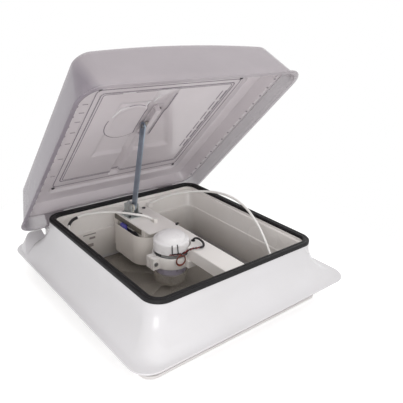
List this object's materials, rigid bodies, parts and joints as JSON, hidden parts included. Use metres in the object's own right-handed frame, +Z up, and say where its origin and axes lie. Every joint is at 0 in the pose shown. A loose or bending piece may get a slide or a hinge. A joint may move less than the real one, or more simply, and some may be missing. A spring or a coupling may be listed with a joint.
{
  "type": "roof vent cover",
  "caption": "Square roof vent with a hinged smoky lid on a lift arm, a flanged white base with a rubber seal, and a motor-driven fan over an insect screen.",
  "frame": {"origin": "centre of the roof opening in the plane of the roof, which is the underside of the flange", "axes": "+X along the hinge edge to the right, +Y to the hinge edge, +Z up and out of the roof"},
  "size_m": [0.494, 0.54, 0.4834],
  "materials": {
    "white_gloss": "glossy moulded white",
    "white_satin": "satin white",
    "inner_white": "satin off-white",
    "bar_white": "satin white",
    "cap_white": "satin white",
    "clamp_white": "white nylon",
    "seal_rubber": "matt black",
    "screen_mesh": "grey glass-fibre mesh",
    "zinc_screw": "zinc plated",
    "dark_screw": "dark plated",
    "zinc_plate": "blue zinc plate",
    "steel": "turned",
    "aluminium": "satin",
    "nylon": "natural nylon",
    "board_green": "dark blue laminate",
    "black_plastic": "black",
    "smoke_lid": "smoky translucent moulding",
    "clear_panel": "clear moulding",
    "motor_steel": "grey plated steel",
    "fan_clear": "translucent polypropylene",
    "conduit_white": "soft white tube",
    "lead_red": "red and black wire",
    "lead_brown": "red-brown wire"
  },
  "bodies": {
    "base": {"base_frame": "white_gloss", "hinge_rail": "white_gloss", "rim_seal": "seal_rubber", "trim_ring": "white_satin", "screen_frame": "white_satin", "insect_screen": "screen_mesh", "crossbar": "bar_white", "bar_screws": "zinc_screw", "control_pocket": "inner_white", "pocket_cover": "bar_white", "control_board": "board_green", "board_parts": "black_plastic", "lift_bracket": "zinc_plate", "bracket_screws": "zinc_screw", "pivot_pin": "zinc_screw", "hinge_brackets": "zinc_plate", "hinge_pins": "steel", "hinge_bracket_screws": "zinc_screw", "motor_can": "motor_steel", "motor_band": "motor_steel", "motor_cap": "cap_white", "clamp_front": "clamp_white", "clamp_back": "clamp_white", "clamp_screw": "zinc_screw", "clamp_pads": "seal_rubber", "left_conduit": "conduit_white", "left_sleeve": "black_plastic", "right_conduit": "conduit_white", "conduit_sockets": "inner_white", "motor_leads": "lead_red", "lead_sleeve": "black_plastic", "lead_loop": "lead_brown", "bar_grommet": "seal_rubber", "bar_clip": "black_plastic", "pocket_wires": "black_plastic"},
    "lid": {"lid_shell": "smoke_lid", "lid_inner_panel": "clear_panel", "panel_screws": "dark_screw", "slider_track": "clear_panel", "track_screws": "zinc_screw", "hinge_leaves": "zinc_plate", "leaf_rivets": "aluminium"},
    "arm": {"lift_arm": "zinc_plate", "arm_sector": "steel", "arm_spacer": "nylon"},
    "slider": {"track_slider": "nylon", "slider_pin": "zinc_screw"},
    "crank": {"crank_shaft": "steel", "crank_knob": "white_satin"},
    "fan": {"motor_shaft": "steel", "fan_rotor": "fan_clear", "fan_nut": "steel"}
  },
  "joints": [
    {"name": "lid_hinge", "type": "hinge", "parent": "base", "child": "lid", "pos_m": [0, 0.23765, 0.03043], "axis": [1, 0, 0], "range_deg": [0, 47.19], "deforming": ["right_conduit"]},
    {"name": "arm_pivot", "type": "hinge", "parent": "base", "child": "arm", "pos_m": [-0.017, 0.132, 0.079], "axis": [1, 0, 0], "range_deg": [0, 76.91]},
    {"name": "slider_pivot", "type": "hinge", "parent": "arm", "child": "slider", "pos_m": [-0.017, 0.09491, 0.26693], "axis": [1, 0, 0], "range_deg": [-29.72, 0]},
    {"name": "crank_spin", "type": "hinge", "parent": "base", "child": "crank", "pos_m": [-0.0203, 0.148, 0], "axis": [0, 0, 1], "range_deg": [0, 1841.7]},
    {"name": "fan_spin", "type": "hinge", "parent": "base", "child": "fan", "pos_m": [-0.017, -0.006, 0], "axis": [0, 0, 1], "continuous": true}
  ],
  "couplings": [
    {"joint": "arm_pivot", "follows": "lid_hinge", "ratio": 1.6235},
    {"joint": "slider_pivot", "follows": "lid_hinge", "ratio": -0.62348},
    {"joint": "crank_spin", "follows": "lid_hinge", "ratio": 38.964}
  ]
}
